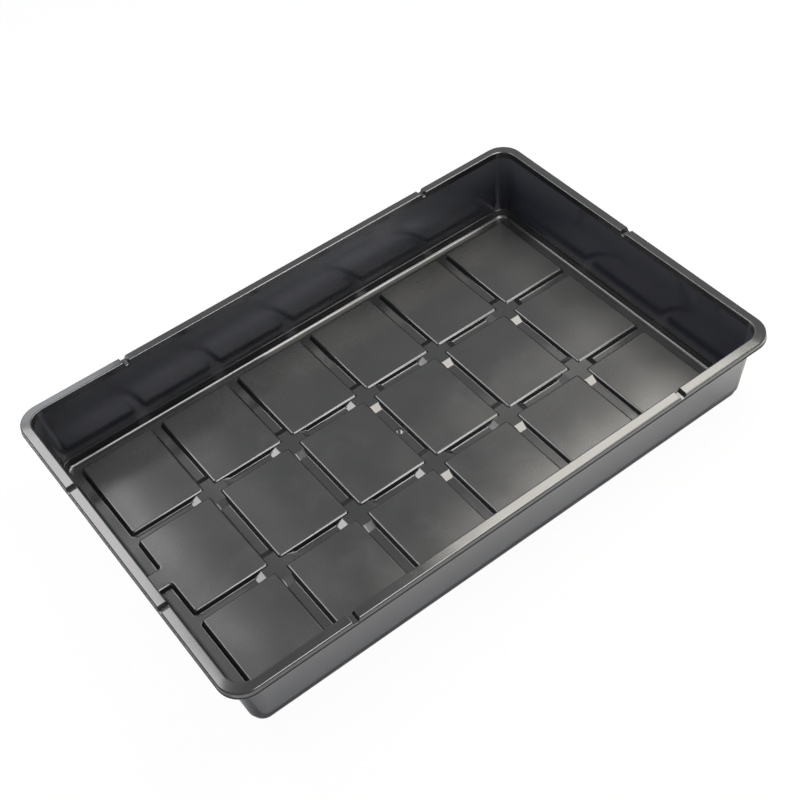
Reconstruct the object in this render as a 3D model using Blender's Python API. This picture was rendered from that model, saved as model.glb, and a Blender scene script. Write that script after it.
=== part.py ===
"""Seed tray of a mini greenhouse: one thin plastic moulding.

Units are metres and +Z is up. X runs along the tray and Y across it. The origin lies on the
surface that the tray stands on, under the middle of the tray. The sheet has one thickness
all over: a stepped wall with a turned-down rim, and a floor of raised pads between channels.
"""
import math

import bmesh
import bpy

MM = 0.001

# Sheet
SHEET = 1.1 * MM

# Raised pads, measured at the top edge of their sides
COLUMNS = 6
ROWS = 3
PAD_LENGTH = 74.7 * MM
PAD_WIDTH = 98.0 * MM
PAD_HEIGHT = 5.2 * MM
PAD_SIDE_RUN = 1.7 * MM
PAD_CORNER_RADIUS = 2.6 * MM
PAD_EDGE_RADIUS = 1.8 * MM
PAD_FOOT_RADIUS = 1.2 * MM

# Channels between the pads, and from the outer pads to the foot of the wall
COLUMN_GAP = 12.3 * MM
ROW_GAP = 11.0 * MM
EDGE_GAP = 12.6 * MM

# Low saddles where two channels cross
SADDLE_RISE = 3.3 * MM
SADDLE_REACH = 14.3 * MM
RAMP_RUN = 7.4 * MM

# Bridge from the middle pad of the first column to the wall
BRIDGE_WIDTH = 20.4 * MM

# Round gate mark in the middle of the floor
GATE_RADIUS = 4.2 * MM
GATE_HEIGHT = 2.2 * MM

# Wall, from the channel floor up to the top of the rim
WALL_HEIGHT = 77.8 * MM
LONG_WALL_DRAFT = math.radians(5.0)
END_WALL_DRAFT = math.radians(8.0)
FOOT_HEIGHT = 8.3 * MM
FOOT_RUN = 2.0 * MM
FOOT_RADIUS = 3.4 * MM
FOOT_CORNER_RADIUS = 10.0 * MM
LEDGE = 0.7 * MM

# Rim
FLANGE = 9.3 * MM
RIM_INNER_RADIUS = 2.5 * MM
RIM_OUTER_RADIUS = 1.6 * MM
RIM_CORNER_RADIUS = 23.0 * MM
SKIRT_DROP = 6.8 * MM
SKIRT_BELOW_NOTCH = 0.4 * MM
LIP_DROP = 1.2 * MM
LIP_RUN = 0.7 * MM

# Notches across the rim, placed from the middle of a side: two on each long side and on the end
# with the bridge, and one in the middle of the far end
NOTCH_FROM_MIDDLE_LONG = 174.5 * MM
NOTCH_FROM_MIDDLE_END = 79.0 * MM
NOTCH_TOP_WIDTH = 7.0 * MM
NOTCH_FLOOR_WIDTH = 3.0 * MM
NOTCH_DEPTH = 4.3 * MM

# How far a joined shape runs into its neighbour, and how far a hollow runs out of the sheet
OVERLAP = 0.3 * MM
CLEAR = 1.0 * MM

# Facets of a fillet and of a quarter corner
FILLET_STEPS = 3
PAD_CORNER_STEPS = 2
WALL_CORNER_STEPS = 5
GATE_SIDES = 12
GATE_RINGS = 3

PLASTIC_COLOUR = (0.055, 0.057, 0.06, 1.0)
PLASTIC_ROUGHNESS = 0.38

# Heights and half sizes that follow from the values above
FLOOR_TOP = SHEET
PAD_TOP = FLOOR_TOP + PAD_HEIGHT
RIM_TOP = FLOOR_TOP + WALL_HEIGHT
NOTCH_LOWEST = RIM_TOP - SKIRT_DROP + LIP_DROP + SKIRT_BELOW_NOTCH
COLUMN_PITCH = PAD_LENGTH + COLUMN_GAP
ROW_PITCH = PAD_WIDTH + ROW_GAP
FOOT_HALF_LENGTH = (COLUMNS * COLUMN_PITCH - COLUMN_GAP) / 2 + EDGE_GAP
FOOT_HALF_WIDTH = (ROWS * ROW_PITCH - ROW_GAP) / 2 + EDGE_GAP
PAD_SLOPE = math.atan2(PAD_SIDE_RUN, PAD_HEIGHT)
SIDE_SHEET = SHEET / math.cos(PAD_SLOPE)


def clear_scene():
    for item in list(bpy.data.objects):
        bpy.data.objects.remove(item, do_unlink=True)


def dark_plastic():
    material = bpy.data.materials.new("dark_plastic")
    material.use_nodes = True
    shader = material.node_tree.nodes["Principled BSDF"]
    shader.inputs["Base Color"].default_value = PLASTIC_COLOUR
    shader.inputs["Roughness"].default_value = PLASTIC_ROUGHNESS
    shader.inputs["Metallic"].default_value = 0.0
    return material


def rounded_profile(corners):
    """Turn (run, height, radius) corners into points, with an arc at each rounded corner."""
    points = []
    last = len(corners) - 1
    for index, (run, height, radius) in enumerate(corners):
        if radius == 0.0 or index in (0, last):
            points.append((run, height))
            continue
        before = corners[index - 1]
        after = corners[index + 1]
        start_angle = math.atan2(height - before[1], run - before[0])
        end_angle = math.atan2(after[1] - height, after[0] - run)
        turn = (end_angle - start_angle + math.pi) % (2 * math.pi) - math.pi
        tangent = radius * math.tan(abs(turn) / 2)
        side = math.copysign(radius, turn)
        arc_x = run - tangent * math.cos(start_angle) - side * math.sin(start_angle)
        arc_z = height - tangent * math.sin(start_angle) + side * math.cos(start_angle)
        for step in range(FILLET_STEPS + 1):
            angle = start_angle + turn * step / FILLET_STEPS
            points.append((arc_x + side * math.sin(angle), arc_z - side * math.cos(angle)))
    return points


def corner_arc(half_x, half_y, radius, quarter, steps):
    """Points of one quarter corner, counter-clockwise; quarter 0 is the +X +Y corner."""
    sign_x = 1 if quarter in (0, 3) else -1
    sign_y = 1 if quarter in (0, 1) else -1
    middle_x = sign_x * (half_x - radius)
    middle_y = sign_y * (half_y - radius)
    points = []
    for step in range(steps + 1):
        angle = math.pi / 2 * (quarter + step / steps)
        points.append((middle_x + radius * math.cos(angle), middle_y + radius * math.sin(angle)))
    return points


def rounded_ring(half_x, half_y, radius, height, middle, steps):
    points = []
    for quarter in range(4):
        for x, y in corner_arc(half_x, half_y, radius, quarter, steps):
            points.append((middle[0] + x, middle[1] + y, height))
    return points


def notch_steps(middles):
    """Places along a side, in rising order, with 1 where the notch is at its full depth."""
    steps = []
    for middle in middles:
        steps.append((middle - NOTCH_TOP_WIDTH / 2, 0))
        steps.append((middle - NOTCH_FLOOR_WIDTH / 2, 1))
        steps.append((middle + NOTCH_FLOOR_WIDTH / 2, 1))
        steps.append((middle + NOTCH_TOP_WIDTH / 2, 0))
    return steps


def wall_ring(half, radius, height, notch_height, notch_inset):
    """One ring of the wall; at the notches it sinks to notch_height and moves in by notch_inset."""
    half_x, half_y = half
    sink = height - notch_height
    inset_x, inset_y = notch_inset
    long_steps = notch_steps((-NOTCH_FROM_MIDDLE_LONG, NOTCH_FROM_MIDDLE_LONG))
    bridge_end_steps = notch_steps((-NOTCH_FROM_MIDDLE_END, NOTCH_FROM_MIDDLE_END))
    far_end_steps = notch_steps((0.0,))
    points = []
    for quarter in range(4):
        for x, y in corner_arc(half_x, half_y, radius, quarter, WALL_CORNER_STEPS):
            points.append((x, y, height))
        if quarter == 0:
            points += [(-s, half_y - n * inset_y, height - n * sink) for s, n in long_steps]
        elif quarter == 1:
            points += [(n * inset_x - half_x, -s, height - n * sink) for s, n in bridge_end_steps]
        elif quarter == 2:
            points += [(s, n * inset_y - half_y, height - n * sink) for s, n in long_steps]
        else:
            points += [(half_x - n * inset_x, s, height - n * sink) for s, n in far_end_steps]
    return points


def add_ring(mesh, points):
    return [mesh.verts.new(point) for point in points]


def join_rings(mesh, lower, upper):
    count = len(lower)
    for index in range(count):
        follow = (index + 1) % count
        mesh.faces.new((lower[index], lower[follow], upper[follow], upper[index]))


def add_loft(mesh, rings):
    """A closed body through rings of points that run counter-clockwise from bottom to top."""
    loops = [add_ring(mesh, ring) for ring in rings]
    for lower, upper in zip(loops, loops[1:]):
        join_rings(mesh, lower, upper)
    mesh.faces.new(list(reversed(loops[0])))
    mesh.faces.new(loops[-1])


def make_object(name, mesh):
    data = bpy.data.meshes.new(name)
    mesh.to_mesh(data)
    mesh.free()
    item = bpy.data.objects.new(name, data)
    bpy.context.collection.objects.link(item)
    return item


def make_guide(name, mesh):
    item = make_object(name, mesh)
    item.hide_render = True
    item.display_type = "WIRE"
    return item


def pad_middles():
    for column in range(COLUMNS):
        for row in range(ROWS):
            x = (column - (COLUMNS - 1) / 2) * COLUMN_PITCH
            y = (row - (ROWS - 1) / 2) * ROW_PITCH
            yield x, y


def crossing_middles():
    for column in range(COLUMNS - 1):
        for row in range(ROWS - 1):
            x = (column - (COLUMNS - 2) / 2) * COLUMN_PITCH
            y = (row - (ROWS - 2) / 2) * ROW_PITCH
            yield x, y


def wall_profile(draft):
    """Runs and heights from the channel floor to the lip, measured outwards from the foot."""
    wall_run = FOOT_RUN + LEDGE + (WALL_HEIGHT - FOOT_HEIGHT) * math.tan(draft)
    rim_run = wall_run + FLANGE
    return rounded_profile([
        (-EDGE_GAP / 2, FLOOR_TOP, 0.0),
        (0.0, FLOOR_TOP, FOOT_RADIUS),
        (FOOT_RUN, FLOOR_TOP + FOOT_HEIGHT, 0.0),
        (FOOT_RUN + LEDGE, FLOOR_TOP + FOOT_HEIGHT, 0.0),
        (wall_run, RIM_TOP, RIM_INNER_RADIUS),
        (rim_run, RIM_TOP, RIM_OUTER_RADIUS),
        (rim_run, RIM_TOP - SKIRT_DROP + LIP_DROP, 0.0),
        (rim_run + LIP_RUN, RIM_TOP - SKIRT_DROP, 0.0),
    ])[1:]


def make_tray_skin():
    """The upper face of floor, wall and rim as one open sheet, before it gets its thickness."""
    mesh = bmesh.new()
    end_profile = wall_profile(END_WALL_DRAFT)
    long_profile = wall_profile(LONG_WALL_DRAFT)
    fillet_points = FILLET_STEPS + 1
    outer_fillet = len(end_profile) - 2 - fillet_points
    inner_fillet = outer_fillet - fillet_points
    widest = end_profile[-1][0] + long_profile[-1][0]
    loops = []
    for index, (end_point, long_point) in enumerate(zip(end_profile, long_profile)):
        height = (end_point[1] + long_point[1]) / 2
        share = (end_point[0] + long_point[0]) / widest
        radius = FOOT_CORNER_RADIUS + (RIM_CORNER_RADIUS - FOOT_CORNER_RADIUS) * share
        notch_height = height
        notch_inset = (0.0, 0.0)
        if inner_fillet <= index < outer_fillet + fillet_points:
            notch_height = max(height - NOTCH_DEPTH, NOTCH_LOWEST)
        if inner_fillet <= index < outer_fillet:
            notch_height = height - NOTCH_DEPTH
            notch_inset = (
                NOTCH_DEPTH * math.tan(END_WALL_DRAFT),
                NOTCH_DEPTH * math.tan(LONG_WALL_DRAFT),
            )
        half = (FOOT_HALF_LENGTH + end_point[0], FOOT_HALF_WIDTH + long_point[0])
        loops.append(add_ring(mesh, wall_ring(half, radius, height, notch_height, notch_inset)))
    for inner, outer in zip(loops, loops[1:]):
        join_rings(mesh, outer, inner)
    mesh.faces.new(loops[0])
    return make_object("seed_tray", mesh)


def pad_rings(middle, profile, corner_radius):
    rings = []
    for run, height in profile:
        rings.append(rounded_ring(
            PAD_LENGTH / 2 + run,
            PAD_WIDTH / 2 + run,
            corner_radius + run,
            height,
            middle,
            PAD_CORNER_STEPS,
        ))
    return rings


def make_pads():
    foot = FLOOR_TOP - OVERLAP / 10
    profile = rounded_profile([
        (PAD_SIDE_RUN + PAD_FOOT_RADIUS, foot, 0.0),
        (PAD_SIDE_RUN, foot, PAD_FOOT_RADIUS),
        (0.0, PAD_TOP, PAD_EDGE_RADIUS),
        (-PAD_EDGE_RADIUS, PAD_TOP, 0.0),
    ])[1:-1]
    profile.insert(0, (profile[0][0], foot - OVERLAP))
    mesh = bmesh.new()
    for middle in pad_middles():
        add_loft(mesh, pad_rings(middle, profile, PAD_CORNER_RADIUS))
    return make_guide("pads", mesh)


def make_pad_hollows():
    depth = PAD_HEIGHT + FLOOR_TOP + CLEAR
    bottom_run = depth * math.tan(PAD_SLOPE) - SIDE_SHEET
    top_run = SHEET * math.tan(PAD_SLOPE) - SIDE_SHEET
    profile = [(bottom_run, PAD_TOP - depth), (top_run, PAD_TOP - SHEET)]
    mesh = bmesh.new()
    for middle in pad_middles():
        add_loft(mesh, pad_rings(middle, profile, PAD_CORNER_RADIUS))
    return make_guide("pad_hollows", mesh)


def add_saddle(mesh, middle, arm_half_x, arm_half_y, top, bottom):
    """A cross with four ramps; arm_half_x is half the width of the arms that run along Y."""
    ramp_slope = SADDLE_RISE / RAMP_RUN
    end = SADDLE_REACH + (top - bottom) / ramp_slope
    corners = []
    for quarter in range(4):
        arm, side = (arm_half_y, arm_half_x) if quarter % 2 == 0 else (arm_half_x, arm_half_y)
        corners.append([(SADDLE_REACH, -arm), (SADDLE_REACH, arm), (end, -arm), (end, arm), (side, arm)])

    def place(point, quarter, height):
        angle = math.pi / 2 * quarter
        x = point[0] * math.cos(angle) - point[1] * math.sin(angle)
        y = point[0] * math.sin(angle) + point[1] * math.cos(angle)
        return mesh.verts.new((middle[0] + x, middle[1] + y, height))

    top_ring = []
    base_ring = []
    for quarter in range(4):
        near_low, near_high, far_low, far_high, inner = corners[quarter]
        top_low = place(near_low, quarter, top)
        top_high = place(near_high, quarter, top)
        base_low = place(far_low, quarter, bottom)
        base_high = place(far_high, quarter, bottom)
        top_inner = place(inner, quarter, top)
        base_inner = place(inner, quarter, bottom)
        mesh.faces.new((base_low, base_high, top_high, top_low))
        mesh.faces.new((base_high, base_inner, top_inner, top_high))
        top_ring += [top_low, top_high, top_inner]
        base_ring += [base_low, base_high, base_inner]
    for quarter in range(4):
        inner = 3 * quarter - 1
        mesh.faces.new((base_ring[inner], base_ring[3 * quarter], top_ring[3 * quarter], top_ring[inner]))
    mesh.faces.new(top_ring)
    mesh.faces.new(list(reversed(base_ring)))


def make_saddles():
    mesh = bmesh.new()
    for middle in crossing_middles():
        add_saddle(
            mesh,
            middle,
            COLUMN_GAP / 2 + OVERLAP,
            ROW_GAP / 2 + OVERLAP,
            FLOOR_TOP + SADDLE_RISE,
            FLOOR_TOP - OVERLAP,
        )
    return make_guide("saddles", mesh)


def make_saddle_hollows():
    mesh = bmesh.new()
    for middle in crossing_middles():
        add_saddle(
            mesh,
            middle,
            COLUMN_GAP / 2 + SHEET,
            ROW_GAP / 2 + SHEET,
            FLOOR_TOP + SADDLE_RISE - SHEET,
            -CLEAR,
        )
    return make_guide("saddle_hollows", mesh)


def add_bridge(mesh, sheet, low_end, high_end, top, bottom):
    """A flat-topped bar along X with leaning sides, from inside the pad to its end at the wall."""
    pad_edge = -FOOT_HALF_LENGTH + EDGE_GAP
    near = pad_edge + PAD_EDGE_RADIUS + sheet
    middle_y = (ROWS // 2 - (ROWS - 1) / 2) * ROW_PITCH
    rings = []
    for height, far in ((bottom, low_end), (top, high_end)):
        lean = (PAD_TOP - height) * math.tan(PAD_SLOPE)
        half = BRIDGE_WIDTH / 2 + lean - (SIDE_SHEET if sheet else 0.0)
        rings.append([
            (far, middle_y - half, height),
            (near, middle_y - half, height),
            (near, middle_y + half, height),
            (far, middle_y + half, height),
        ])
    add_loft(mesh, rings)


def make_bridge():
    """The bridge ends in the middle of the wall's sheet and leans with its foot."""
    mesh = bmesh.new()
    low_end = -FOOT_HALF_LENGTH + SHEET / 2
    high_end = -FOOT_HALF_LENGTH - FOOT_RUN * PAD_HEIGHT / FOOT_HEIGHT - SHEET / 2
    add_bridge(mesh, 0.0, low_end, high_end, PAD_TOP - OVERLAP / 10, FLOOR_TOP - OVERLAP)
    return make_guide("bridge", mesh)


def make_bridge_hollow():
    mesh = bmesh.new()
    wall_end = -FOOT_HALF_LENGTH + FOOT_RUN
    add_bridge(mesh, SHEET, wall_end, wall_end, PAD_TOP - SHEET, -CLEAR)
    return make_guide("bridge_hollow", mesh)


def make_gate_mark():
    """A low dome in the channel at the middle of the floor, where the moulding was filled."""
    mesh = bmesh.new()
    rings = []
    for height, share in [(FLOOR_TOP - OVERLAP, 0.0)] + [
        (FLOOR_TOP + GATE_HEIGHT * math.sin(math.pi / 2 * ring / GATE_RINGS), ring / GATE_RINGS)
        for ring in range(GATE_RINGS)
    ]:
        radius = GATE_RADIUS * math.cos(math.pi / 2 * share)
        rings.append([
            (
                radius * math.cos(2 * math.pi * side / GATE_SIDES),
                radius * math.sin(2 * math.pi * side / GATE_SIDES),
                height,
            )
            for side in range(GATE_SIDES)
        ])
    add_loft(mesh, rings)
    return make_guide("gate_mark", mesh)


def add_boolean(item, operand, operation):
    modifier = item.modifiers.new(operand.name, "BOOLEAN")
    modifier.object = operand
    modifier.operation = operation
    modifier.solver = "EXACT"


def make_seed_tray():
    tray = make_tray_skin()
    thickness = tray.modifiers.new("sheet", "SOLIDIFY")
    thickness.thickness = SHEET
    thickness.offset = -1.0
    thickness.use_even_offset = True
    for operand in (make_pads(), make_saddles(), make_bridge(), make_gate_mark()):
        add_boolean(tray, operand, "UNION")
    for operand in (make_pad_hollows(), make_saddle_hollows(), make_bridge_hollow()):
        add_boolean(tray, operand, "DIFFERENCE")
    tray.data.materials.append(dark_plastic())
    tray.data.shade_smooth()
    tray.data.set_sharp_from_angle(angle=math.radians(40))
    return tray


clear_scene()
make_seed_tray()
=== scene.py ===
"""Dark plastic seed tray on a white studio floor.

The tray is one moulded sheet. Its floor is a plane that is cut along every edge line and raised to
pads and saddles, its wall and rim are grown ring by ring, and the joined sheet then gets its
thickness. All lengths are metres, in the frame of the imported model.
"""
import math
from collections import namedtuple

import bmesh
import bpy
from mathutils import Matrix, Vector


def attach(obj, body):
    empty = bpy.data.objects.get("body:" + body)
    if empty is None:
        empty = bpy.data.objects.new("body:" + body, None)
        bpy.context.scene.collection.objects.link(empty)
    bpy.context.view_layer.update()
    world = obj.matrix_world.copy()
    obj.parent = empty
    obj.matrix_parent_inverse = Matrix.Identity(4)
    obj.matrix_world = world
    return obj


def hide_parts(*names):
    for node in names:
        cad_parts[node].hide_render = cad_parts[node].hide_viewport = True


MM = 0.001

# Sheet
SHEET = 1.1 * MM

# Raised pads, measured at the top edge of their sides
COLUMNS = 6
ROWS = 3
PAD_LENGTH = 74.7 * MM
PAD_WIDTH = 98.0 * MM
PAD_HEIGHT = 5.2 * MM
PAD_SIDE_RUN = 1.7 * MM
PAD_CORNER_RADIUS = 2.6 * MM
PAD_EDGE_RADIUS = 2.6 * MM
PAD_FOOT_RADIUS = 1.0 * MM

# Channels between the pads, and from the outer pads to the foot of the wall
COLUMN_GAP = 12.3 * MM
ROW_GAP = 11.0 * MM
EDGE_GAP = 12.6 * MM

# Low saddles where two channels cross
SADDLE_RISE = 3.3 * MM
SADDLE_REACH = 14.3 * MM
RAMP_RUN = 7.4 * MM
RAMP_RADIUS = 0.8 * MM

# Bridge from the middle pad of the first column to the wall
BRIDGE_WIDTH = 20.4 * MM
BRIDGE_INNER_RADIUS = 3.0 * MM

# Round gate mark in the middle of the floor
GATE_RADIUS = 4.2 * MM
GATE_HEIGHT = 1.6 * MM
GATE_ROUNDING = 0.75

# Wall and rim
WALL_HEIGHT = 77.8 * MM
LONG_WALL_DRAFT = math.radians(5.0)
END_WALL_DRAFT = math.radians(8.0)
FOOT_HEIGHT = 8.3 * MM
FOOT_RUN = 2.0 * MM
FOOT_RADIUS = 3.4 * MM
FOOT_CORNER_RADIUS = 10.0 * MM
LEDGE = 0.7 * MM
LEDGE_RADIUS = 0.25 * MM
FLANGE = 9.3 * MM
FLANGE_FALL = 0.8 * MM
RIM_INNER_RADIUS = 1.3 * MM
RIM_OUTER_RADIUS = 1.6 * MM
RIM_CORNER_RADIUS = 23.0 * MM
SKIRT_DROP = 6.8 * MM
SKIRT_BELOW_NOTCH = 0.4 * MM
LIP_DROP = 1.2 * MM
LIP_RUN = 0.69 * MM
LIP_RADIUS = 0.4 * MM

# Notches across the rim, placed from the middle of a side: two on each long side and on the end
# with the bridge, and one in the middle of the far end
NOTCH_FROM_MIDDLE_LONG = 174.5 * MM
NOTCH_FROM_MIDDLE_END = 79.0 * MM
NOTCH_TOP_WIDTH = 7.0 * MM
NOTCH_FLOOR_WIDTH = 3.0 * MM
NOTCH_DEPTH = 4.3 * MM
NOTCH_RADIUS = 0.6 * MM
NOTCH_CROWN = 0.12

# Facets of a fillet, of a quarter corner, of a notch edge and of half the gate mark
FILLET_STEPS = 5
CORNER_STEPS = 14
NOTCH_STEPS = 3
GATE_STEPS = 6

# A narrow flat strip beside each fillet keeps the flats evenly shaded
GUARD = 0.4 * MM

# Extra cuts beside a pad, about the line where its side meets a saddle
SADDLE_SIDE_CUTS = (-0.2 * MM, 0.0, 0.25 * MM, 0.5 * MM)

# Slack: places that count as one, cuts that are merged, rings and undersides that are caught
HAIR = 0.01 * MM
MERGED_CUTS = 0.05 * MM
RING_SLACK = 0.05 * MM
GROUND_SLACK = 0.02 * MM

# Faces that lie flat to each other, and edges that are shaded smooth
FLAT_ANGLE = math.radians(0.3)
SMOOTH_ANGLE = math.radians(38.0)
LARGE_FACE_WEIGHT = 80

# Gloss of the plastic: the pads are more matt than the channels, the walls and the rim, most of
# all at the far end, and the end walls mirror less than the rest
REFRACTION = 1.58
CHANNEL_ROUGHNESS = 0.15
PAD_ROUGHNESS = 0.26
WALL_ROUGHNESS = 0.18
RIM_ROUGHNESS = 0.15
FAR_END_WEAR = 0.15
SHINE = 0.5
END_WALL_SHINE = 0.20

# Colours of the plastic and of its scuffs, with painted light: the walls are painted lighter than
# the floor, and lighter still towards their top
FLOOR_TONE = (0.0108, 0.0114, 0.0120, 1.0)
PAINTED_LIGHT_WALL_TONE = (0.0205, 0.0218, 0.0290, 1.0)
PAINTED_LIGHT_UPPER_WALL_TONE = (0.0385, 0.0400, 0.0460, 1.0)
SCUFF_TONE = (0.0175, 0.0183, 0.0205, 1.0)

# Swells that only the shading carries: domed pads, and walls that bow inwards
PAD_CROWN = 0.5 * MM
WALL_BOW = 3.4 * MM
OUTER_BOW_SHARE = 0.35

# Stretches in which one look passes into the next: heights, then distances along the tray
CHANNEL_TO_PAD = (5.6 * MM, 6.1 * MM)
FLOOR_END = (6.5 * MM, 8.0 * MM)
PAD_TO_WALL = (7.0 * MM, 9.5 * MM)
WALL_START = (9.0 * MM, 14.0 * MM)
# Heights over which the painted light grows towards the top of the walls
UPPER_WALL = (38.0 * MM, 70.0 * MM)
WALL_END = (71.0 * MM, 73.0 * MM)
WALL_TO_RIM = (72.0 * MM, 76.0 * MM)
FAR_END = (190.0 * MM, 245.0 * MM)
END_WALL = (258.0 * MM, 268.0 * MM)

# Soft flow marks and faint scuffs: how fine they are, which part of their noise shows, and how
# they change the roughness
FLOW_SCALE = 26.0
FLOW_DETAIL = 3.0
FLOW_PART = (0.3, 0.7)
FLOW_ROUGHNESS = (-0.03, 0.04)
SCUFF_SCALE = 24.0
SCUFF_DETAIL = 4.0
SCUFF_DISTORTION = 0.8
SCUFF_PART = (0.58, 0.80)
SCUFF_ROUGHNESS = 0.03

# Unevenness of the moulding, from fine to wide
GRAIN_SCALE = 1400.0
GRAIN_DETAIL = 2.0
GRAIN_STRENGTH = 0.02
GRAIN_HEIGHT = 0.2 * MM
RIPPLE_SCALE = 34.0
RIPPLE_HEIGHT = 0.1 * MM
WAVE_SCALE = 10.0
WAVE_HEIGHT = 0.8 * MM
SOFT_DETAIL = 1.0
FULL_STRENGTH = 1.0

# Studio: the light of the world and of the floor, and the white that is shown in their place
WORLD_LIGHT = (0.33, 0.34, 0.37, 1.0)
WORLD_WHITE = (0.975, 0.975, 0.975, 1.0)
WORLD_SHOWN = 1.0
WORLD_MIRRORED = 0.82
FLOOR_PAINT = (0.85, 0.85, 0.85, 1.0)
FLOOR_WHITE = (1.0, 1.0, 1.0, 1.0)
FLOOR_SHOWN = 0.965
FLOOR_MIRRORED = 0.15
FLOOR_SIZE = 12.0

# Camera, as fitted to the photograph
CAMERA_SENSOR = 36.0
CAMERA_LENS = 61.63
CAMERA_AZIMUTH = math.radians(-30.9)
CAMERA_ELEVATION = math.radians(47.96)
CAMERA_ROLL = math.radians(-8.07)
CAMERA_DISTANCE = 1.3023
CAMERA_TARGET = (0.0212, 0.0268, 0.0063)

# Heights, half sizes and fillet ends that follow from the values above
FLOOR_TOP = SHEET
PAD_TOP = FLOOR_TOP + PAD_HEIGHT
RIM_TOP = FLOOR_TOP + WALL_HEIGHT
LIP_BOTTOM = RIM_TOP - SKIRT_DROP
LIP_TOP = LIP_BOTTOM + LIP_DROP
COLUMN_PITCH = PAD_LENGTH + COLUMN_GAP
ROW_PITCH = PAD_WIDTH + ROW_GAP
PADS_HALF_LENGTH = (COLUMNS * COLUMN_PITCH - COLUMN_GAP) / 2
PADS_HALF_WIDTH = (ROWS * ROW_PITCH - ROW_GAP) / 2
FOOT_HALF_LENGTH = PADS_HALF_LENGTH + EDGE_GAP
FOOT_HALF_WIDTH = PADS_HALF_WIDTH + EDGE_GAP
PAD_SLOPE = math.atan2(PAD_SIDE_RUN, PAD_HEIGHT)
SIDE_TURN = math.pi / 2 - PAD_SLOPE
PAD_EDGE_TANGENT = PAD_EDGE_RADIUS * math.tan(SIDE_TURN / 2)
PAD_FOOT_TANGENT = PAD_FOOT_RADIUS * math.tan(SIDE_TURN / 2)
RAMP_SLOPE = SADDLE_RISE / RAMP_RUN
RAMP_TANGENT = RAMP_RADIUS * math.tan(math.atan(RAMP_SLOPE) / 2)

Ring = namedtuple("Ring", "half_length half_width radius height")


# Selecting and shaping helpers


def start_piece(name):
    """Names the newly added object and opens it for editing, with all its points selected."""
    piece = bpy.context.object
    piece.name = name
    piece.data.name = name
    bpy.ops.object.mode_set(mode="EDIT")
    bpy.ops.mesh.select_mode(type="VERT")
    bpy.ops.mesh.select_all(action="SELECT")
    return piece


def end_piece():
    bpy.ops.object.mode_set(mode="OBJECT")


def select_only(piece):
    bpy.ops.object.select_all(action="DESELECT")
    piece.select_set(True)
    bpy.context.view_layer.objects.active = piece


def select_points(piece, chosen):
    """Selects the mesh points for which chosen(point) holds, and says how many there are."""
    bpy.ops.mesh.select_all(action="DESELECT")
    mesh = bmesh.from_edit_mesh(piece.data)
    count = 0
    for vert in mesh.verts:
        if chosen(vert.co):
            vert.select_set(True)
            count += 1
    mesh.select_flush_mode()
    bmesh.update_edit_mesh(piece.data)
    return count


def select_numbered(piece, numbers, chosen):
    """Selects those of the numbered mesh points for which chosen(point) holds."""
    bpy.ops.mesh.select_all(action="DESELECT")
    mesh = bmesh.from_edit_mesh(piece.data)
    mesh.verts.ensure_lookup_table()
    for number in numbers:
        vert = mesh.verts[number]
        if chosen(vert.co):
            vert.select_set(True)
    mesh.select_flush_mode()
    bmesh.update_edit_mesh(piece.data)


def select_edges(piece, chosen):
    """Selects the edges for which chosen(edge) holds, with the mesh in edge mode."""
    bpy.ops.mesh.select_mode(type="EDGE")
    bpy.ops.mesh.select_all(action="DESELECT")
    mesh = bmesh.from_edit_mesh(piece.data)
    for edge in mesh.edges:
        if chosen(edge):
            edge.select_set(True)
    bmesh.update_edit_mesh(piece.data)


def select_faces(piece, chosen):
    """Selects the faces for which chosen(face) holds."""
    bpy.ops.mesh.select_all(action="DESELECT")
    mesh = bmesh.from_edit_mesh(piece.data)
    for face in mesh.faces:
        if chosen(face):
            face.select_set(True)
    bmesh.update_edit_mesh(piece.data)


def axis_vector(axis):
    vector = Vector((0.0, 0.0, 0.0))
    vector[axis] = 1.0
    return vector


def cut_across(axis, places):
    """Cuts the whole mesh across one axis, at each of the places."""
    normal = axis_vector(axis)
    for place in places:
        bpy.ops.mesh.select_all(action="SELECT")
        bpy.ops.mesh.bisect(plane_co=normal * place, plane_no=normal)


def apply_modifier(piece, modifier):
    select_only(piece)
    bpy.ops.object.modifier_apply(modifier=modifier.name)


# Profiles


def arc_points(before, corner, after, radius, steps):
    """Points of the fillet that rounds one corner of a profile."""
    start_angle = math.atan2(corner[1] - before[1], corner[0] - before[0])
    end_angle = math.atan2(after[1] - corner[1], after[0] - corner[0])
    turn = (end_angle - start_angle + math.pi) % (2 * math.pi) - math.pi
    tangent = radius * math.tan(abs(turn) / 2)
    side = math.copysign(radius, turn)
    centre_x = corner[0] - tangent * math.cos(start_angle) - side * math.sin(start_angle)
    centre_z = corner[1] - tangent * math.sin(start_angle) + side * math.cos(start_angle)
    points = []
    for step in range(steps + 1):
        angle = start_angle + turn * step / steps
        points.append((centre_x + side * math.sin(angle), centre_z - side * math.cos(angle)))
    return points


def wall_run(draft):
    """How far the wall runs outwards on its way from the foot to the rim."""
    return FOOT_RUN + LEDGE + (WALL_HEIGHT - FOOT_HEIGHT) * math.tan(draft)


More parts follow.
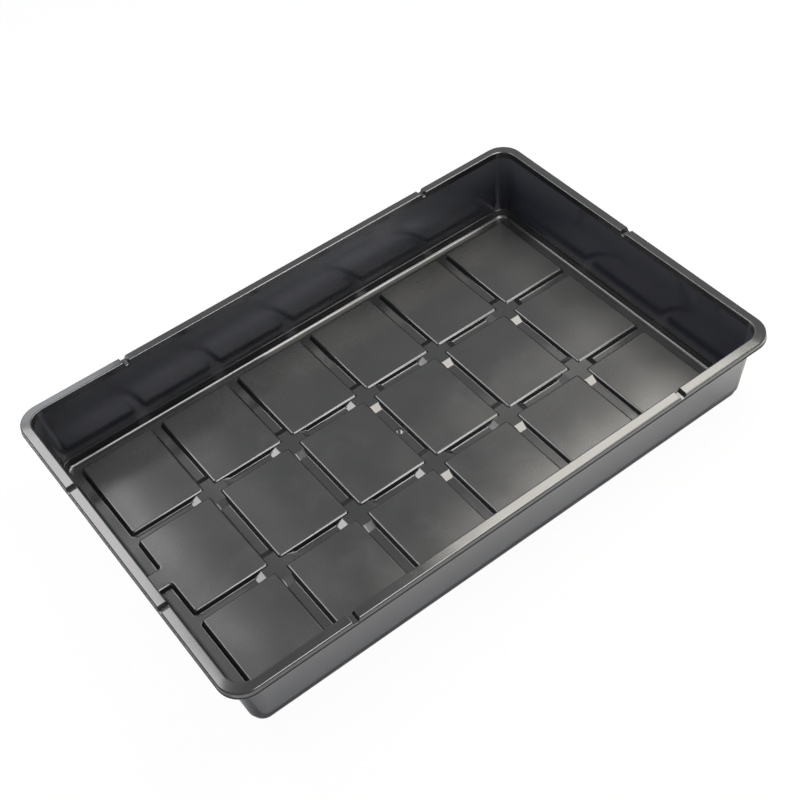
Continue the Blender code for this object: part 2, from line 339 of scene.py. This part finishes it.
def wall_profile(draft):
    """(run, height, name of the stretch) from the channel floor to the lip, run from the foot."""
    rim_start = wall_run(draft)
    rim_end = rim_start + FLANGE
    ledge_height = FLOOR_TOP + FOOT_HEIGHT
    corners = [
        (-EDGE_GAP, FLOOR_TOP, 0.0, 0, "floor"),
        (0.0, FLOOR_TOP, FOOT_RADIUS, FILLET_STEPS + 1, "foot"),
        (FOOT_RUN, ledge_height, LEDGE_RADIUS, 2, "ledge"),
        (FOOT_RUN + LEDGE, ledge_height, LEDGE_RADIUS, 2, "ledge"),
        (rim_start, RIM_TOP, RIM_INNER_RADIUS, FILLET_STEPS + 2, "rim_inner"),
        (rim_end, RIM_TOP - FLANGE_FALL, RIM_OUTER_RADIUS, FILLET_STEPS, "rim_outer"),
        (rim_end, LIP_TOP, LIP_RADIUS, 2, "lip"),
        (rim_end + LIP_RUN, LIP_BOTTOM, 0.0, 0, "lip"),
    ]
    points = []
    for before, corner, after in zip(corners, corners[1:], corners[2:]):
        x, z, radius, steps, name = corner
        arc = arc_points(before[:2], (x, z), after[:2], radius, steps)
        if name == "foot":
            points.append((arc[0][0] - GUARD, arc[0][1], "floor"))
        points += [(run, height, name) for run, height in arc]
    points.append((rim_end + LIP_RUN, LIP_BOTTOM, "lip"))
    return points


def notch_profile():
    """(distance from the notch's middle, share of its depth) across half of a notch."""
    top = (NOTCH_TOP_WIDTH / 2, 0.0)
    bottom = (NOTCH_FLOOR_WIDTH / 2, -NOTCH_DEPTH)
    outer = arc_points((NOTCH_TOP_WIDTH, 0.0), top, bottom, NOTCH_RADIUS, NOTCH_STEPS)
    inner = arc_points(top, bottom, (0.0, -NOTCH_DEPTH), NOTCH_RADIUS, NOTCH_STEPS)
    return [(place, -height / NOTCH_DEPTH) for place, height in outer + inner]


# Floor


def even_middles(count, pitch):
    """Places that lie evenly about zero."""
    return [(index - (count - 1) / 2) * pitch for index in range(count)]


def from_nearest(value, count, pitch):
    """Distance from the nearest of the places that lie evenly about zero."""
    return min(abs(value - middle) for middle in even_middles(count, pitch))


def pad_outline_distance(x, y):
    """How far a point lies outside the top outline of the nearest pad, or of the bridge."""
    over_x = from_nearest(x, COLUMNS, COLUMN_PITCH) - PAD_LENGTH / 2 + PAD_CORNER_RADIUS
    over_y = from_nearest(y, ROWS, ROW_PITCH) - PAD_WIDTH / 2 + PAD_CORNER_RADIUS
    outside = math.hypot(max(over_x, 0.0), max(over_y, 0.0))
    from_pad = outside + min(max(over_x, over_y), 0.0) - PAD_CORNER_RADIUS
    from_bridge = max(abs(y) - BRIDGE_WIDTH / 2, x + PADS_HALF_LENGTH - BRIDGE_WIDTH / 2)
    blend = max(BRIDGE_INNER_RADIUS - abs(from_pad - from_bridge), 0.0) / BRIDGE_INNER_RADIUS
    return min(from_pad, from_bridge) - BRIDGE_INNER_RADIUS / 4 * blend * blend


def ramp_height(along):
    """Height of a saddle above the channel floor, at a distance from the crossing's middle."""
    end = SADDLE_REACH + RAMP_RUN
    if along <= SADDLE_REACH - RAMP_TANGENT:
        return SADDLE_RISE
    if along < SADDLE_REACH + RAMP_TANGENT:
        blend = (along - SADDLE_REACH + RAMP_TANGENT) / (2 * RAMP_TANGENT)
        return SADDLE_RISE - RAMP_SLOPE * RAMP_TANGENT * blend * blend
    if along < end - RAMP_TANGENT:
        return SADDLE_RISE - RAMP_SLOPE * (along - SADDLE_REACH)
    if along < end + RAMP_TANGENT:
        blend = (end + RAMP_TANGENT - along) / (2 * RAMP_TANGENT)
        return RAMP_SLOPE * RAMP_TANGENT * blend * blend
    return 0.0


def ground_height(x, y):
    """Height of the channels: their floor, the saddles and the gate mark."""
    from_column_gap = from_nearest(x, COLUMNS - 1, COLUMN_PITCH)
    from_row_gap = from_nearest(y, ROWS - 1, ROW_PITCH)
    rise = 0.0
    if from_row_gap <= ROW_GAP / 2:
        rise = max(rise, ramp_height(from_column_gap))
    if from_column_gap <= COLUMN_GAP / 2:
        rise = max(rise, ramp_height(from_row_gap))
    from_gate = math.hypot(x, y) / GATE_RADIUS
    if from_gate < 1.0:
        rise = max(rise, GATE_HEIGHT * (1.0 - from_gate ** 2) ** GATE_ROUNDING)
    return FLOOR_TOP + rise


def floor_height(x, y):
    """Height of the moulded floor: pads with rounded edges that rise from the ground."""
    ground = ground_height(x, y)
    away = pad_outline_distance(x, y)
    if away <= -PAD_EDGE_TANGENT:
        return PAD_TOP
    if away <= PAD_EDGE_TANGENT * math.sin(PAD_SLOPE):
        reach = away + PAD_EDGE_TANGENT
        return PAD_TOP - PAD_EDGE_RADIUS + math.sqrt(PAD_EDGE_RADIUS ** 2 - reach ** 2)
    edge_drop = PAD_EDGE_RADIUS * (1.0 - math.cos(SIDE_TURN))
    room = (PAD_TOP - ground - edge_drop) / (1.0 - math.cos(SIDE_TURN))
    foot_radius = min(PAD_FOOT_RADIUS, room)
    foot_tangent = foot_radius * math.tan(SIDE_TURN / 2)
    foot = (PAD_TOP - ground) * math.tan(PAD_SLOPE)
    if away >= foot + foot_tangent:
        return ground
    if away >= foot - foot_tangent * math.sin(PAD_SLOPE):
        reach = foot + foot_tangent - away
        return ground + foot_radius - math.sqrt(max(foot_radius ** 2 - reach ** 2, 0.0))
    return PAD_TOP - away / math.tan(PAD_SLOPE)


def edge_offsets():
    """Places of the cuts across a pad's edge, outwards from the top outline."""
    offsets = [-PAD_CORNER_RADIUS, -PAD_EDGE_TANGENT - GUARD]
    for step in range(FILLET_STEPS + 1):
        swing = math.sin(SIDE_TURN * step / FILLET_STEPS)
        offsets.append(PAD_EDGE_RADIUS * swing - PAD_EDGE_TANGENT)
        offsets.append(PAD_SIDE_RUN + PAD_FOOT_TANGENT - PAD_FOOT_RADIUS * swing)
    saddle_side = (PAD_HEIGHT - SADDLE_RISE) * math.tan(PAD_SLOPE)
    offsets += [saddle_side + cut for cut in SADDLE_SIDE_CUTS]
    offsets.append(PAD_SIDE_RUN + PAD_FOOT_TANGENT + GUARD)
    return sorted(offsets)


def ramp_offsets():
    """Places of the cuts across a ramp, from the crossing's middle."""
    offsets = []
    for middle in (SADDLE_REACH, SADDLE_REACH + RAMP_RUN):
        offsets += [middle - RAMP_TANGENT - GUARD, middle - RAMP_TANGENT, middle]
        offsets += [middle + RAMP_TANGENT, middle + RAMP_TANGENT + GUARD]
    return offsets


def cut_lines(count, pitch, pad_size):
    """All places along one axis where the floor is cut."""
    lines = []
    for middle in even_middles(count, pitch):
        for offset in edge_offsets():
            lines += [middle - pad_size / 2 - offset, middle + pad_size / 2 + offset]
    for middle in even_middles(count - 1, pitch):
        for offset in ramp_offsets():
            lines += [middle - offset, middle + offset]
    for step in range(-GATE_STEPS, GATE_STEPS + 1):
        lines.append(GATE_RADIUS * math.sin(math.pi / 2 * step / GATE_STEPS))
    lines.sort()
    kept = [lines[0]]
    for line in lines[1:]:
        if line - kept[-1] > MERGED_CUTS:
            kept.append(line)
    return kept


def raise_floor(floor):
    """Lifts every point to the moulded floor and joins the flats that the cuts had split."""
    mesh = bmesh.from_edit_mesh(floor.data)
    for vert in mesh.verts:
        vert.co.z = FLOOR_TOP if vert.is_boundary else floor_height(vert.co.x, vert.co.y)
    mesh.normal_update()
    bmesh.update_edit_mesh(floor.data)
    bpy.ops.mesh.select_all(action="SELECT")
    bpy.ops.mesh.dissolve_limited(angle_limit=FLAT_ANGLE)


def model_floor():
    """A plane that reaches to the foot of the wall on the bridge's side, cut and then raised."""
    bpy.ops.object.select_all(action="DESELECT")
    bpy.ops.mesh.primitive_plane_add(size=2.0)
    floor = start_piece("tray_floor")
    margin = PAD_SIDE_RUN + PAD_FOOT_RADIUS + 2 * GUARD
    bpy.ops.transform.resize(value=(PADS_HALF_LENGTH + margin, PADS_HALF_WIDTH + margin, 1.0))
    select_points(floor, lambda point: point.x < 0.0)
    bpy.ops.transform.translate(value=(margin - EDGE_GAP + FOOT_RADIUS + GUARD, 0.0, 0.0))
    bridge_stop = -FOOT_HALF_LENGTH + FOOT_RADIUS + 2 * GUARD
    cut_across(0, cut_lines(COLUMNS, COLUMN_PITCH, PAD_LENGTH) + [bridge_stop])
    bridge_sides = []
    for offset in edge_offsets():
        bridge_sides += [-BRIDGE_WIDTH / 2 - offset, BRIDGE_WIDTH / 2 + offset]
    cut_across(1, cut_lines(ROWS, ROW_PITCH, PAD_WIDTH) + bridge_sides)
    raise_floor(floor)
    end_piece()
    return floor


# Wall and rim


def ring_at(end_point, long_point, widest):
    """The ring through one point of the end walls' profile and one of the long walls'."""
    share = (end_point[0] + long_point[0]) / widest
    radius = FOOT_CORNER_RADIUS + (RIM_CORNER_RADIUS - FOOT_CORNER_RADIUS) * share
    height = (end_point[1] + long_point[1]) / 2
    return Ring(FOOT_HALF_LENGTH + end_point[0], FOOT_HALF_WIDTH + long_point[0], radius, height)


def grow_ring(wall, ring, following):
    """Extrudes the selected ring and moves each quarter corner to its place on the next ring."""
    rise = (0.0, 0.0, following.height - ring.height)
    bpy.ops.mesh.extrude_edges_move(TRANSFORM_OT_translate={"value": rise})
    mesh = bmesh.from_edit_mesh(wall.data)
    new_points = [vert.index for vert in mesh.verts if vert.select]
    swell = following.radius / ring.radius
    middle_x, middle_y = ring.half_length - ring.radius, ring.half_width - ring.radius
    move_x = following.half_length - following.radius - middle_x
    move_y = following.half_width - following.radius - middle_y
    for sign_x, sign_y in ((1, 1), (-1, 1), (-1, -1), (1, -1)):
        select_numbered(
            wall, new_points, lambda point: point.x * sign_x > 0.0 and point.y * sign_y > 0.0)
        middle = (sign_x * middle_x, sign_y * middle_y, following.height)
        bpy.ops.transform.resize(value=(swell, swell, 1.0), center_override=middle)
        bpy.ops.transform.translate(value=(sign_x * move_x, sign_y * move_y, 0.0))
    select_numbered(wall, new_points, lambda point: True)


def model_wall():
    """The wall and rim, grown from a rounded ring on the channel floor."""
    end_profile = wall_profile(END_WALL_DRAFT)
    long_profile = wall_profile(LONG_WALL_DRAFT)
    widest = end_profile[-1][0] + long_profile[-1][0]
    rings = [ring_at(*points, widest) for points in zip(end_profile, long_profile)]
    first = rings[0]
    bpy.ops.object.select_all(action="DESELECT")
    bpy.ops.mesh.primitive_plane_add(size=2.0)
    wall = start_piece("tray")
    bpy.ops.transform.resize(value=(first.half_length, first.half_width, 1.0))
    bpy.ops.transform.translate(value=(0.0, 0.0, first.height))
    bpy.ops.mesh.bevel(
        offset=first.radius, segments=CORNER_STEPS, affect="VERTICES", clamp_overlap=False)
    bpy.ops.mesh.select_all(action="SELECT")
    bpy.ops.mesh.delete(type="ONLY_FACE")
    bpy.ops.mesh.select_all(action="SELECT")
    for ring, following in zip(rings, rings[1:]):
        grow_ring(wall, ring, following)
    cut_notches(wall, [point[2] for point in end_profile], [ring.height for ring in rings])
    end_piece()
    return wall


def cut_notches(wall, names, heights):
    """Cuts the notches of all four sides into the part of the wall above the skirt."""
    inner_start = heights[names.index("rim_inner")]
    outer_end = heights[len(names) - 1 - names[::-1].index("rim_outer")]
    rim_start = min(inner_start, outer_end) - RING_SLACK
    long_pair = (-NOTCH_FROM_MIDDLE_LONG, NOTCH_FROM_MIDDLE_LONG)
    end_pair = (-NOTCH_FROM_MIDDLE_END, NOTCH_FROM_MIDDLE_END)
    cut_side(wall, rim_start, (0, 1, 1.0), long_pair, FOOT_HALF_WIDTH, LONG_WALL_DRAFT)
    cut_side(wall, rim_start, (0, 1, -1.0), long_pair, FOOT_HALF_WIDTH, LONG_WALL_DRAFT)
    cut_side(wall, rim_start, (1, 0, -1.0), end_pair, FOOT_HALF_LENGTH, END_WALL_DRAFT)
    cut_side(wall, rim_start, (1, 0, 1.0), (0.0,), FOOT_HALF_LENGTH, END_WALL_DRAFT)


def cut_side(wall, rim_start, side, middles, foot_half, draft):
    """Makes the notches of one side, given by its axis, the axis across it and its sign."""
    along, across, sign = side
    normal = axis_vector(along)

    def on_side(point):
        return point.z > rim_start and point[across] * sign > foot_half

    places = []
    for middle in middles:
        for offset, share in notch_profile():
            places += [(middle - offset, share), (middle + offset, share)]
    for place, _ in places:
        select_faces(wall, lambda face: all(on_side(vert.co) for vert in face.verts))
        bpy.ops.mesh.bisect(plane_co=normal * place, plane_no=normal)
    flange_start = foot_half + wall_run(draft) + RIM_INNER_RADIUS
    mesh = bmesh.from_edit_mesh(wall.data)
    for vert in mesh.verts:
        if not on_side(vert.co):
            continue
        shares = [share for place, share in places if abs(vert.co[along] - place) <= HAIR]
        if shares:
            sink_point(vert.co, shares[0], across, sign, flange_start, draft)
    mesh.normal_update()
    bmesh.update_edit_mesh(wall.data)


def sink_point(point, share, across, sign, flange_start, draft):
    """Lowers a point of the rim by a share of the notch's depth, along the wall where it leans."""
    sink = share * NOTCH_DEPTH
    lowest = LIP_TOP + SKIRT_BELOW_NOTCH
    if point[across] * sign <= flange_start:
        point[across] -= sign * sink * math.tan(draft)
        point.z -= sink
    elif share > 0.0:
        point.z = max(point.z - sink, lowest + (point.z - lowest) * NOTCH_CROWN)


# Whole tray


def join_floor_and_wall(floor, wall):
    """Makes one sheet of the floor and the wall and closes the flat strip between them."""
    def low_border(edge):
        return edge.is_boundary and all(vert.co.z < RIM_TOP / 2 for vert in edge.verts)

    def low_area(face):
        return face.calc_area() * (face.calc_center_median().z < RIM_TOP / 4)

    select_only(wall)
    floor.select_set(True)
    bpy.ops.object.join()
    bpy.ops.object.mode_set(mode="EDIT")
    select_edges(wall, low_border)
    bpy.ops.mesh.fill(use_beauty=True)
    bpy.ops.mesh.select_all(action="SELECT")
    bpy.ops.mesh.normals_make_consistent(inside=False)
    mesh = bmesh.from_edit_mesh(wall.data)
    if max(mesh.faces, key=low_area).normal.z < 0.0:
        bpy.ops.mesh.flip_normals()
    bpy.ops.mesh.select_mode(type="VERT")
    end_piece()


def rest_on_ground(tray):
    """Flattens whatever hangs below the ground, so that the tray stands on its underside."""
    select_only(tray)
    bpy.ops.object.mode_set(mode="EDIT")
    if select_points(tray, lambda point: point.z < GROUND_SLACK):
        bpy.ops.transform.resize(value=(1.0, 1.0, 0.0), center_override=(0.0, 0.0, 0.0))
    end_piece()


def model_bridge_end():
    """A short bar with leaning sides that carries the bridge on into the wall's sheet."""
    near = -FOOT_HALF_LENGTH + FOOT_RADIUS + 5 * GUARD
    far = -FOOT_HALF_LENGTH - FOOT_RUN * PAD_HEIGHT / FOOT_HEIGHT - SHEET / 2
    low_far = -FOOT_HALF_LENGTH + SHEET / 2
    top = PAD_TOP - HAIR
    bottom = FLOOR_TOP - SHEET / 3
    middle_x, middle_z = (near + far) / 2, (top + bottom) / 2
    lean = (top - bottom) * math.tan(PAD_SLOPE)
    bpy.ops.object.select_all(action="DESELECT")
    bpy.ops.mesh.primitive_cube_add(size=1.0)
    bar = start_piece("bridge_end")
    bpy.ops.transform.resize(value=(near - far, BRIDGE_WIDTH, top - bottom))
    bpy.ops.transform.translate(value=(middle_x, 0.0, middle_z))
    select_points(bar, lambda point: point.z < middle_z)
    bpy.ops.transform.resize(value=(1.0, 1.0 + 2 * lean / BRIDGE_WIDTH, 1.0))
    select_points(bar, lambda point: point.z < middle_z and point.x < middle_x)
    bpy.ops.transform.translate(value=(low_far - far, 0.0, 0.0))
    round_top_edges(bar, middle_z)
    end_piece()
    return bar


def round_top_edges(bar, middle_z):
    """Rounds the two long edges on top of the bar like the edges of the pads."""
    def lengthwise_on_top(edge):
        first, second = (vert.co for vert in edge.verts)
        return abs(first.y - second.y) < HAIR and min(first.z, second.z) > middle_z

    select_edges(bar, lengthwise_on_top)
    bpy.ops.mesh.bevel(offset=PAD_EDGE_TANGENT, segments=FILLET_STEPS, affect="EDGES")
    bpy.ops.mesh.select_mode(type="VERT")
    bpy.ops.mesh.select_all(action="SELECT")
    bpy.ops.mesh.normals_make_consistent(inside=False)


def join_bar(tray, bar):
    modifier = tray.modifiers.new("bridge_end", "BOOLEAN")
    modifier.object = bar
    modifier.operation = "UNION"
    modifier.solver = "EXACT"
    apply_modifier(tray, modifier)
    bpy.data.objects.remove(bar, do_unlink=True)


def shade_evenly(tray):
    select_only(tray)
    bpy.ops.object.shade_smooth_by_angle(angle=SMOOTH_ANGLE)
    evenness = tray.modifiers.new("even_flats", "WEIGHTED_NORMAL")
    evenness.keep_sharp = True
    evenness.weight = LARGE_FACE_WEIGHT
    apply_modifier(tray, evenness)


def mark_bow(tray):
    """Marks how far each side of the walls bows inwards: fully inside, and less outside."""
    mark = tray.data.attributes.new("bow_share", "FLOAT", "FACE")
    for face in tray.data.polygons:
        outward = face.center.x * face.normal.x + face.center.y * face.normal.y
        mark.data[face.index].value = -OUTER_BOW_SHARE if outward > 0.0 else 1.0


def model_tray():
    floor = model_floor()
    tray = model_wall()
    join_floor_and_wall(floor, tray)
    thickness = tray.modifiers.new("sheet", "SOLIDIFY")
    thickness.thickness = SHEET
    thickness.offset = -1.0
    thickness.use_even_offset = True
    apply_modifier(tray, thickness)
    rest_on_ground(tray)
    join_bar(tray, model_bridge_end())
    shade_evenly(tray)
    mark_bow(tray)
    return tray


# Finish


def add_node(tree, kind, **values):
    node = tree.nodes.new(kind)
    for name, value in values.items():
        setattr(node, name, value)
    return node


def feed(tree, value, target):
    """Links a socket to an input, or sets the input to a plain value."""
    if isinstance(value, bpy.types.NodeSocket):
        tree.links.new(value, target)
    else:
        target.default_value = value


def add_math(tree, operation, *values):
    node = add_node(tree, "ShaderNodeMath", operation=operation)
    for value, target in zip(values, node.inputs):
        feed(tree, value, target)
    return node.outputs[0]


def add_noise(tree, place, scale, detail, distortion=0.0):
    noise = add_node(tree, "ShaderNodeTexNoise")
    feed(tree, place, noise.inputs["Vector"])
    feed(tree, scale, noise.inputs["Scale"])
    feed(tree, detail, noise.inputs["Detail"])
    feed(tree, distortion, noise.inputs["Distortion"])
    return noise.outputs["Fac"]


def add_spread(tree, value, stretch, to_low, to_high):
    """Maps a stretch of a value onto the stretch between two numbers."""
    spread = add_node(tree, "ShaderNodeMapRange")
    feed(tree, value, spread.inputs["Value"])
    feed(tree, stretch[0], spread.inputs["From Min"])
    feed(tree, stretch[1], spread.inputs["From Max"])
    feed(tree, to_low, spread.inputs["To Min"])
    feed(tree, to_high, spread.inputs["To Max"])
    return spread.outputs["Result"]


def add_mix(tree, share, first, second):
    """Passes from a first colour to a second one, by a share."""
    mix = add_node(tree, "ShaderNodeMix", data_type="RGBA")
    feed(tree, share, mix.inputs["Factor"])
    feed(tree, first, mix.inputs["A"])
    feed(tree, second, mix.inputs["B"])
    return mix.outputs["Result"]


def add_swell(tree, along, pitch, start):
    """A smooth rise and fall along one axis that repeats at each pitch."""
    turn = add_math(tree, "MULTIPLY_ADD", along, 2 * math.pi / pitch, start)
    return add_math(tree, "COSINE", turn)


def add_bump(tree, height, strength, distance, below=None):
    """A bump on top of the bump below it, if there is one."""
    bump = add_node(tree, "ShaderNodeBump")
    feed(tree, height, bump.inputs["Height"])
    feed(tree, strength, bump.inputs["Strength"])
    feed(tree, distance, bump.inputs["Distance"])
    if below:
        feed(tree, below, bump.inputs["Normal"])
    return bump.outputs["Normal"]


def plastic_tone_and_painted_light(tree, height, on_wall, scuffs):
    """Painted light that makes the walls lighter than the floor and lighter still towards their
    top, and a lighter tone on the scuffs.
    """
    painted_light_above = add_math(tree, "MULTIPLY", add_spread(tree, height, UPPER_WALL, 0.0, 1.0), on_wall)
    tone = add_mix(tree, on_wall, FLOOR_TONE, PAINTED_LIGHT_WALL_TONE)
    tone = add_mix(tree, painted_light_above, tone, PAINTED_LIGHT_UPPER_WALL_TONE)
    return add_mix(tree, scuffs, tone, SCUFF_TONE)


def plastic_roughness(tree, place, axes, on_floor, scuffs):
    """Changes with the height, the flow marks, the scuffs and the wear at the far end."""
    flow = add_noise(tree, place, FLOW_SCALE, FLOW_DETAIL)
    far_end = add_spread(tree, axes["X"], FAR_END, 0.0, FAR_END_WEAR)
    roughness = add_spread(tree, axes["Z"], CHANNEL_TO_PAD, CHANNEL_ROUGHNESS, PAD_ROUGHNESS)
    for change in (
        add_spread(tree, axes["Z"], PAD_TO_WALL, 0.0, WALL_ROUGHNESS - PAD_ROUGHNESS),
        add_spread(tree, axes["Z"], WALL_TO_RIM, 0.0, RIM_ROUGHNESS - WALL_ROUGHNESS),
        add_spread(tree, flow, FLOW_PART, *FLOW_ROUGHNESS),
        add_math(tree, "MULTIPLY", scuffs, SCUFF_ROUGHNESS),
        add_math(tree, "MULTIPLY", far_end, on_floor),
    ):
        roughness = add_math(tree, "ADD", roughness, change)
    return roughness


def plastic_shine(tree, axes, on_wall):
    """How strongly the plastic mirrors, which is less on the end walls."""
    from_middle = add_math(tree, "ABSOLUTE", axes["X"])
    at_end = add_spread(tree, from_middle, END_WALL, 0.0, 1.0)
    end_wall = add_math(tree, "MULTIPLY", at_end, on_wall)
    return add_math(tree, "MULTIPLY_ADD", end_wall, END_WALL_SHINE - SHINE, SHINE)


def plastic_surface(tree, place, axes, on_floor, on_wall):
    """Grain, ripples and waves of the moulding, with domed pads and bowed walls between them."""
    crown = add_math(
        tree, "ADD",
        add_swell(tree, axes["X"], COLUMN_PITCH, math.pi),
        add_swell(tree, axes["Y"], ROW_PITCH, 0.0))
    bow_share = add_node(tree, "ShaderNodeAttribute", attribute_name="bow_share").outputs["Fac"]
    bow = add_swell(tree, axes["Z"], 2 * RIM_TOP, -math.pi / 2)
    bow = add_math(tree, "MULTIPLY", bow, bow_share)
    grain = add_noise(tree, place, GRAIN_SCALE, GRAIN_DETAIL)
    ripples = add_noise(tree, place, RIPPLE_SCALE, SOFT_DETAIL)
    waves = add_noise(tree, place, WAVE_SCALE, SOFT_DETAIL)
    surface = add_bump(tree, grain, GRAIN_STRENGTH, GRAIN_HEIGHT)
    surface = add_bump(tree, ripples, FULL_STRENGTH, RIPPLE_HEIGHT, surface)
    surface = add_bump(tree, crown, on_floor, PAD_CROWN, surface)
    surface = add_bump(tree, bow, on_wall, WALL_BOW, surface)
    return add_bump(tree, waves, FULL_STRENGTH, WAVE_HEIGHT, surface)


def dark_plastic():
    """Semi-gloss dark plastic with a fine grain, soft flow marks, a few faint scuffs and painted
    light on the walls.
    """
    material = bpy.data.materials.new("dark_plastic")
    material.use_nodes = True
    tree = material.node_tree
    inputs = tree.nodes["Principled BSDF"].inputs
    place = add_node(tree, "ShaderNodeTexCoord").outputs["Object"]
    split = add_node(tree, "ShaderNodeSeparateXYZ")
    feed(tree, place, split.inputs["Vector"])
    axes = split.outputs
    on_floor = add_spread(tree, axes["Z"], FLOOR_END, 1.0, 0.0)
    above_foot = add_spread(tree, axes["Z"], WALL_START, 0.0, 1.0)
    below_rim = add_spread(tree, axes["Z"], WALL_END, 0.0, -1.0)
    on_wall = add_math(tree, "ADD", above_foot, below_rim)
    scuffs = add_noise(tree, place, SCUFF_SCALE, SCUFF_DETAIL, SCUFF_DISTORTION)
    scuffs = add_spread(tree, scuffs, SCUFF_PART, 0.0, 1.0)
    feed(tree, REFRACTION, inputs["IOR"])
    # The base colour carries painted light: walls lighter than the floor, and lighter still
    # towards their top
    feed(tree, plastic_tone_and_painted_light(tree, axes["Z"], on_wall, scuffs), inputs["Base Color"])
    feed(tree, plastic_roughness(tree, place, axes, on_floor, scuffs), inputs["Roughness"])
    feed(tree, plastic_shine(tree, axes, on_wall), inputs["Specular IOR Level"])
    feed(tree, plastic_surface(tree, place, axes, on_floor, on_wall), inputs["Normal"])
    return material


# Studio


def show_background(tree, lit, shown, output, camera_share, glossy_share):
    """Shows the background to the camera, in glass and in reflections, and lit light elsewhere."""
    rays = add_node(tree, "ShaderNodeLightPath").outputs
    seen = add_math(tree, "MULTIPLY", rays["Is Camera Ray"], camera_share)
    through = add_math(tree, "MULTIPLY", rays["Is Transmission Ray"], camera_share)
    mirrored = add_math(tree, "MULTIPLY", rays["Is Glossy Ray"], glossy_share)
    share = add_math(tree, "MAXIMUM", add_math(tree, "MAXIMUM", seen, through), mirrored)
    mix = add_node(tree, "ShaderNodeMixShader")
    for value, target in zip((share, lit.outputs[0], shown.outputs[0]), mix.inputs):
        feed(tree, value, target)
    feed(tree, mix.outputs[0], output.inputs["Surface"])


def set_world():
    world = bpy.data.worlds.new("studio")
    bpy.context.scene.world = world
    world.use_nodes = True
    tree = world.node_tree
    tree.nodes.clear()
    output = add_node(tree, "ShaderNodeOutputWorld")
    lit = add_node(tree, "ShaderNodeBackground")
    lit.inputs["Color"].default_value = WORLD_LIGHT
    white = add_node(tree, "ShaderNodeBackground")
    white.inputs["Color"].default_value = WORLD_WHITE
    show_background(tree, lit, white, output, WORLD_SHOWN, WORLD_MIRRORED)


def add_floor_stage():
    bpy.ops.object.select_all(action="DESELECT")
    bpy.ops.mesh.primitive_plane_add(size=FLOOR_SIZE)
    stage = bpy.context.object
    stage.name = "studio_floor"
    material = bpy.data.materials.new("studio_white")
    material.use_nodes = True
    tree = material.node_tree
    tree.nodes.clear()
    output = add_node(tree, "ShaderNodeOutputMaterial")
    lit = add_node(tree, "ShaderNodeBsdfDiffuse")
    lit.inputs["Color"].default_value = FLOOR_PAINT
    glow = add_node(tree, "ShaderNodeEmission")
    glow.inputs["Color"].default_value = FLOOR_WHITE
    show_background(tree, lit, glow, output, FLOOR_SHOWN, FLOOR_MIRRORED)
    stage.data.materials.append(material)


def add_softbox(name, place, size, brightness, colour, back=None):
    """An evenly bright area lamp that faces the tray, or away from the direction of its back."""
    lamp = bpy.data.lights.new(name, "AREA")
    lamp.shape = "RECTANGLE"
    lamp.size, lamp.size_y = size
    lamp.energy = brightness * math.pi * size[0] * size[1]
    lamp.color = colour
    item = bpy.data.objects.new(name, lamp)
    bpy.context.collection.objects.link(item)
    away = Vector(back or place).normalized()
    side = Vector((0.0, 1.0, 0.0)).cross(away).normalized()
    turn = Matrix((side, away.cross(side), away)).transposed().to_4x4()
    item.matrix_world = Matrix.Translation(Vector(place)) @ turn
    item.visible_camera = False
    return item


def add_reflector(name, place, size, brightness, colour, back=None):
    """A softbox that is only seen mirrored in the plastic and sheds no other light."""
    item = add_softbox(name, place, size, brightness, colour, back)
    item.visible_diffuse = False


def add_lamps():
    """Two softboxes with their halos, and reflectors for the flanges, the walls and the pads."""
    add_softbox("right_softbox", (0.475, -0.055, 0.86), (0.53, 0.61), 10.0, (1.0, 0.965, 0.88))
    add_reflector("right_halo", (0.64, 0.37, 0.86), (0.50, 0.34), 1.2, (1.0, 0.97, 0.90))
    add_softbox("left_softbox", (-0.46, 0.56, 0.83), (0.48, 0.66), 8.2, (1.0, 0.975, 0.98))
    add_reflector("left_halo", (-0.08, 0.65, 0.90), (0.28, 0.62), 0.65, (1.0, 0.98, 0.98))
    add_reflector("back_reflector", (-0.24, 0.92, 0.585), (0.46, 0.22), 3.4, (0.90, 0.96, 1.0))
    add_reflector("front_reflector", (0.25, -0.70, 0.60), (0.85, 0.32), 10.0, (0.92, 0.93, 1.0))
    add_reflector("top_reflector", (0.30, -0.87, 1.72), (1.10, 0.42), 18.0, (1.0, 0.98, 0.95))
    add_reflector(
        "table_card", (0.15, -0.29, 0.001), (1.30, 0.22), 0.6, (1.0, 1.0, 1.0), (0.0, 0.0, -1.0))


def add_camera():
    camera = bpy.data.cameras.new("camera")
    camera.sensor_width = CAMERA_SENSOR
    camera.lens = CAMERA_LENS
    item = bpy.data.objects.new("camera", camera)
    bpy.context.collection.objects.link(item)
    back = Vector((
        math.sin(CAMERA_AZIMUTH) * math.cos(CAMERA_ELEVATION),
        -math.cos(CAMERA_AZIMUTH) * math.cos(CAMERA_ELEVATION),
        math.sin(CAMERA_ELEVATION),
    ))
    level = Vector((math.cos(CAMERA_AZIMUTH), math.sin(CAMERA_AZIMUTH), 0.0))
    upright = back.cross(level)
    right = level * math.cos(CAMERA_ROLL) + upright * math.sin(CAMERA_ROLL)
    up = upright * math.cos(CAMERA_ROLL) - level * math.sin(CAMERA_ROLL)
    turn = Matrix((right, up, back)).transposed().to_4x4()
    item.matrix_world = Matrix.Translation(Vector(CAMERA_TARGET) + back * CAMERA_DISTANCE) @ turn
    bpy.context.scene.camera = item


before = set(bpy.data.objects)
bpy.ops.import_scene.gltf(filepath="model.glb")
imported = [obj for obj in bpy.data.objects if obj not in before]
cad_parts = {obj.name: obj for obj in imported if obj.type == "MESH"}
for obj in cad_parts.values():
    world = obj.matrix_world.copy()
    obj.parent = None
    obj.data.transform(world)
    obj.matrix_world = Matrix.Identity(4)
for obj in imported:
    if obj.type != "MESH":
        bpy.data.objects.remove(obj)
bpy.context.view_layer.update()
bpy.context.scene.view_settings.view_transform = "Standard"

tray = model_tray()
tray.data.materials.clear()
tray.data.materials.append(dark_plastic())
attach(tray, "root")
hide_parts("seed_tray")

set_world()
add_floor_stage()
add_lamps()
add_camera()
